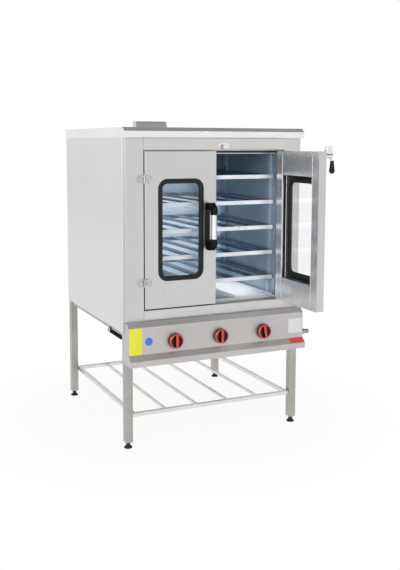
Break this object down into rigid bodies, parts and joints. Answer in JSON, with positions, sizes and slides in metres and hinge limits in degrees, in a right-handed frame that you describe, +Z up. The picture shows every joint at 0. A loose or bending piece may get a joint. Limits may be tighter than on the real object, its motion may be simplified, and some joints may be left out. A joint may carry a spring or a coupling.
{
  "type": "gas pastry oven on stand",
  "caption": "Gas convection-style pastry oven with two glazed swing doors, slatted racks inside, a control panel with knobs, and a tube stand with a lower shelf.",
  "frame": {"origin": "on the floor under the middle of the cabinet's plan, the feet standing on z = 0", "axes": "+Z up, +X to the right as seen by a user in front of the doors, -Y out of the doors"},
  "size_m": [1.0455, 1.372, 1.64],
  "materials": {
    "stainless": "satin sheet, faint vertical grain",
    "galvanised": "bluish bare sheet",
    "stand_steel": "satin light grey tube",
    "bright_steel": "polished",
    "rack_steel": "bright zinc finish",
    "rubber": "black, satin",
    "seal_rubber": "black",
    "door_glass": "clear",
    "black_plastic": "moulded black",
    "knob_black": "gloss black",
    "knob_red": "gloss orange red",
    "brass": "machined",
    "pipe_steel": "zinc plated",
    "wool": "mineral wool",
    "foot_plastic": "black",
    "vinyl_yellow": "bare plate",
    "vinyl_blue": "bare disc",
    "vinyl_white": "bare plate",
    "vinyl_red": "bare plate"
  },
  "bodies": {
    "oven": {"stand_frame": "stand_steel", "lower_shelf": "stand_steel", "side_panel_left": "stainless", "side_panel_right": "stainless", "back_panel": "stainless", "roof_lid": "stainless", "flue_cowl": "stainless", "jamb_left": "stainless", "jamb_right": "stainless", "top_rail": "stainless", "bottom_rail": "stainless", "control_panel": "stainless", "panel_cheeks": "stainless", "mouth_frame": "stainless", "base_pan": "galvanised", "flue_duct": "galvanised", "oven_liner": "galvanised", "rack_supports": "galvanised", "burner_cover_left": "galvanised", "burner_cover_right": "galvanised", "control_tray": "galvanised", "insulation": "wool", "door_seal": "seal_rubber", "frame_hinges": "bright_steel", "latch_catch": "bright_steel", "gas_line": "pipe_steel", "gas_valves": "brass", "rack_1": "rack_steel", "rack_2": "rack_steel", "rack_3": "rack_steel", "rack_4": "rack_steel", "rack_5": "rack_steel"},
    "left_door": {"door_left_skin": "stainless", "door_left_liner": "galvanised", "door_left_gasket": "rubber", "door_left_glass": "door_glass", "door_left_hinges": "bright_steel", "handle_mount": "black_plastic", "handle_grip": "bright_steel"},
    "right_door": {"door_right_skin": "stainless", "door_right_liner": "galvanised", "door_right_gasket": "rubber", "door_right_glass": "door_glass", "door_right_hinges": "bright_steel", "latch_plate": "bright_steel"},
    "latch": {"latch_lever": "bright_steel", "latch_knob": "black_plastic"},
    "valve_plug_1": {"valve_plug_1": "brass"},
    "knob_1": {"knob_1": "knob_black", "knob_ring_1": "knob_red"},
    "valve_plug_2": {"valve_plug_2": "brass"},
    "knob_2": {"knob_2": "knob_black", "knob_ring_2": "knob_red"},
    "valve_plug_3": {"valve_plug_3": "brass"},
    "knob_3": {"knob_3": "knob_black", "knob_ring_3": "knob_red"},
    "foot_front_left": {"foot_front_left": "foot_plastic"},
    "foot_front_right": {"foot_front_right": "foot_plastic"},
    "foot_rear_left": {"foot_rear_left": "foot_plastic"},
    "foot_rear_right": {"foot_rear_right": "foot_plastic"}
  },
  "joints": [
    {"name": "left_door_hinge", "type": "hinge", "parent": "oven", "child": "left_door", "pos_m": [-0.3925, -0.4865, 1.0845], "axis": [0, 0, -1], "range_deg": [0, 115]},
    {"name": "right_door_hinge", "type": "hinge", "parent": "oven", "child": "right_door", "pos_m": [0.3925, -0.4865, 1.0845], "axis": [0, 0, 1], "range_deg": [-90, 25]},
    {"name": "latch_pivot", "type": "hinge", "parent": "right_door", "child": "latch", "pos_m": [0.386, -0.857, 1.452], "axis": [-1, 0, 0], "range_deg": [0, 35]},
    {"name": "knob_1_turn", "type": "hinge", "parent": "oven", "child": "valve_plug_1", "pos_m": [-0.25, -0.526, 0.54], "axis": [0, -1, 0], "range_deg": [0, 270]},
    {"name": "knob_1_push", "type": "slide", "parent": "valve_plug_1", "child": "knob_1", "axis": [0, 1, 0], "range_m": [0, 0.004]},
    {"name": "knob_2_turn", "type": "hinge", "parent": "oven", "child": "valve_plug_2", "pos_m": [0, -0.526, 0.54], "axis": [0, -1, 0], "range_deg": [0, 270]},
    {"name": "knob_2_push", "type": "slide", "parent": "valve_plug_2", "child": "knob_2", "axis": [0, 1, 0], "range_m": [0, 0.004]},
    {"name": "knob_3_turn", "type": "hinge", "parent": "oven", "child": "valve_plug_3", "pos_m": [0.25, -0.526, 0.54], "axis": [0, -1, 0], "range_deg": [0, 270]},
    {"name": "knob_3_push", "type": "slide", "parent": "valve_plug_3", "child": "knob_3", "axis": [0, 1, 0], "range_m": [0, 0.004]},
    {"name": "foot_front_left_level", "type": "slide", "parent": "oven", "child": "foot_front_left", "axis": [0, 0, 1], "range_m": [-0.015, 0.005]},
    {"name": "foot_front_right_level", "type": "slide", "parent": "oven", "child": "foot_front_right", "axis": [0, 0, 1], "range_m": [-0.015, 0.005]},
    {"name": "foot_rear_left_level", "type": "slide", "parent": "oven", "child": "foot_rear_left", "axis": [0, 0, 1], "range_m": [-0.015, 0.005]},
    {"name": "foot_rear_right_level", "type": "slide", "parent": "oven", "child": "foot_rear_right", "axis": [0, 0, 1], "range_m": [-0.015, 0.005]}
  ]
}
